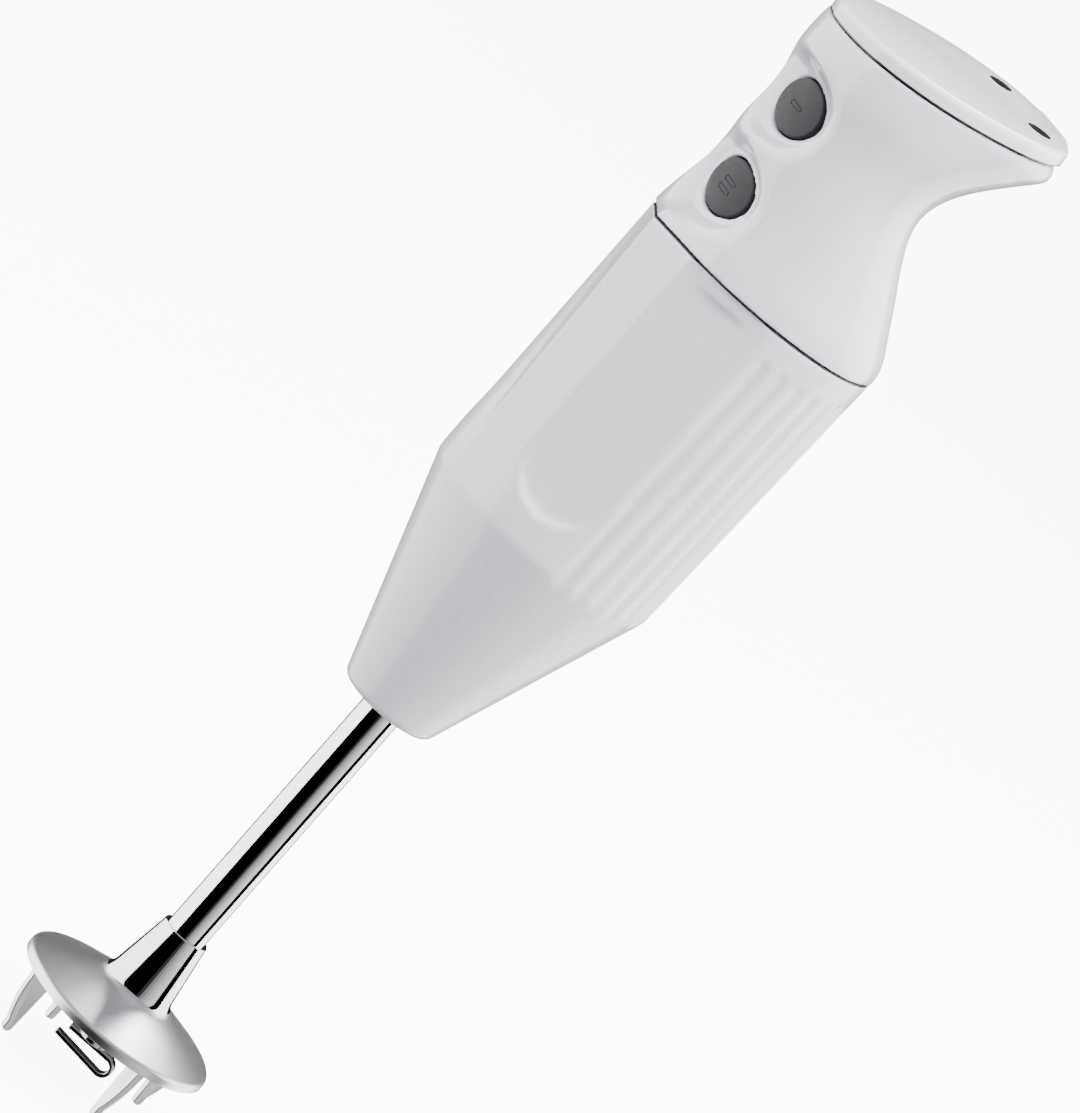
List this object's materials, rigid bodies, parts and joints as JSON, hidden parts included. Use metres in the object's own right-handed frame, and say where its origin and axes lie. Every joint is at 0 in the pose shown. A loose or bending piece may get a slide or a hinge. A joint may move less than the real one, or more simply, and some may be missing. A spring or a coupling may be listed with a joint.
{
  "type": "immersion blender",
  "caption": "Hand-held stick mixer: tapered motor housing with a beaked grip and two oval push buttons, a slim metal wand and a bell-shaped guard on fins around a looped mixing tool.",
  "frame": {"origin": "on the wand's axis, in the plane of the guard's lower rim", "axes": "+Z along the wand towards the lid, -Y to the buttons, +Y to the beak where the cord enters, +X to the right-hand side pad seen from the buttons"},
  "size_m": [0.0696, 0.0745, 0.3401],
  "materials": {
    "housing_plastic": "smooth moulded, cool white",
    "head_plastic": "smooth moulded, cool white",
    "lid_plastic": "smooth moulded, cool white",
    "screw_steel": "zinc plated",
    "inner_plastic": "moulded",
    "switch_plastic": "moulded",
    "board": "printed board",
    "capacitor": "cast",
    "inlet_rubber": "moulded",
    "lamination": "stacked sheet",
    "winding": "enamelled copper wire",
    "commutator_copper": "turned copper",
    "carbon": "pressed carbon",
    "bracket_aluminium": "die cast",
    "bearing_steel": "ground",
    "polished_chrome": "mirror polished",
    "bush_bronze": "sintered",
    "shaft_steel": "ground",
    "tool_steel": "stamped and polished",
    "button_plastic": "fine satin grey"
  },
  "bodies": {
    "frame": {"motor_housing": "housing_plastic", "handle_housing": "head_plastic", "top_lid": "lid_plastic", "lid_screws": "screw_steel", "housing_screws": "screw_steel", "switch_carrier": "inner_plastic", "switch_block_low": "switch_plastic", "switch_block_high": "switch_plastic", "speed_board": "board", "suppression_capacitor": "capacitor", "terminal_block": "inner_plastic", "cord_inlet_bush": "inlet_rubber", "stator_core": "lamination", "stator_coils": "winding", "lower_bearing": "bearing_steel", "upper_bearing": "bearing_steel", "lower_bridge": "bracket_aluminium", "upper_bridge": "bracket_aluminium", "motor_screws": "screw_steel", "brush_holders": "bracket_aluminium", "carbon_brushes": "carbon", "wand_tube": "polished_chrome", "upper_shaft_bush": "bush_bronze", "lower_shaft_bush": "bush_bronze", "shaft_seal": "inlet_rubber", "wand_flange": "bracket_aluminium", "wand_flange_screws": "screw_steel", "blade_guard": "polished_chrome"},
    "rotor": {"rotor_core": "lamination", "rotor_windings": "winding", "commutator": "commutator_copper", "motor_shaft": "shaft_steel", "drive_coupling": "inner_plastic", "drive_shaft": "shaft_steel", "drive_pin": "shaft_steel"},
    "tool": {"tool_hub": "tool_steel", "tool_loop": "tool_steel"},
    "button_low": {"button_low": "button_plastic"},
    "button_high": {"button_high": "button_plastic"}
  },
  "joints": [
    {"name": "rotor_spin", "type": "hinge", "parent": "frame", "child": "rotor", "pos_m": [0, 0, 0], "axis": [0, 0, 1], "continuous": true},
    {"name": "tool_pull", "type": "slide", "parent": "rotor", "child": "tool", "axis": [0, 0, -1], "range_m": [0, 0.03]},
    {"name": "button_low_press", "type": "slide", "parent": "frame", "child": "button_low", "axis": [0, 1, 0], "range_m": [0, 0.002], "stiffness_N_per_m": 600},
    {"name": "button_high_press", "type": "slide", "parent": "frame", "child": "button_high", "axis": [0, 1, 0], "range_m": [0, 0.002], "stiffness_N_per_m": 600}
  ]
}
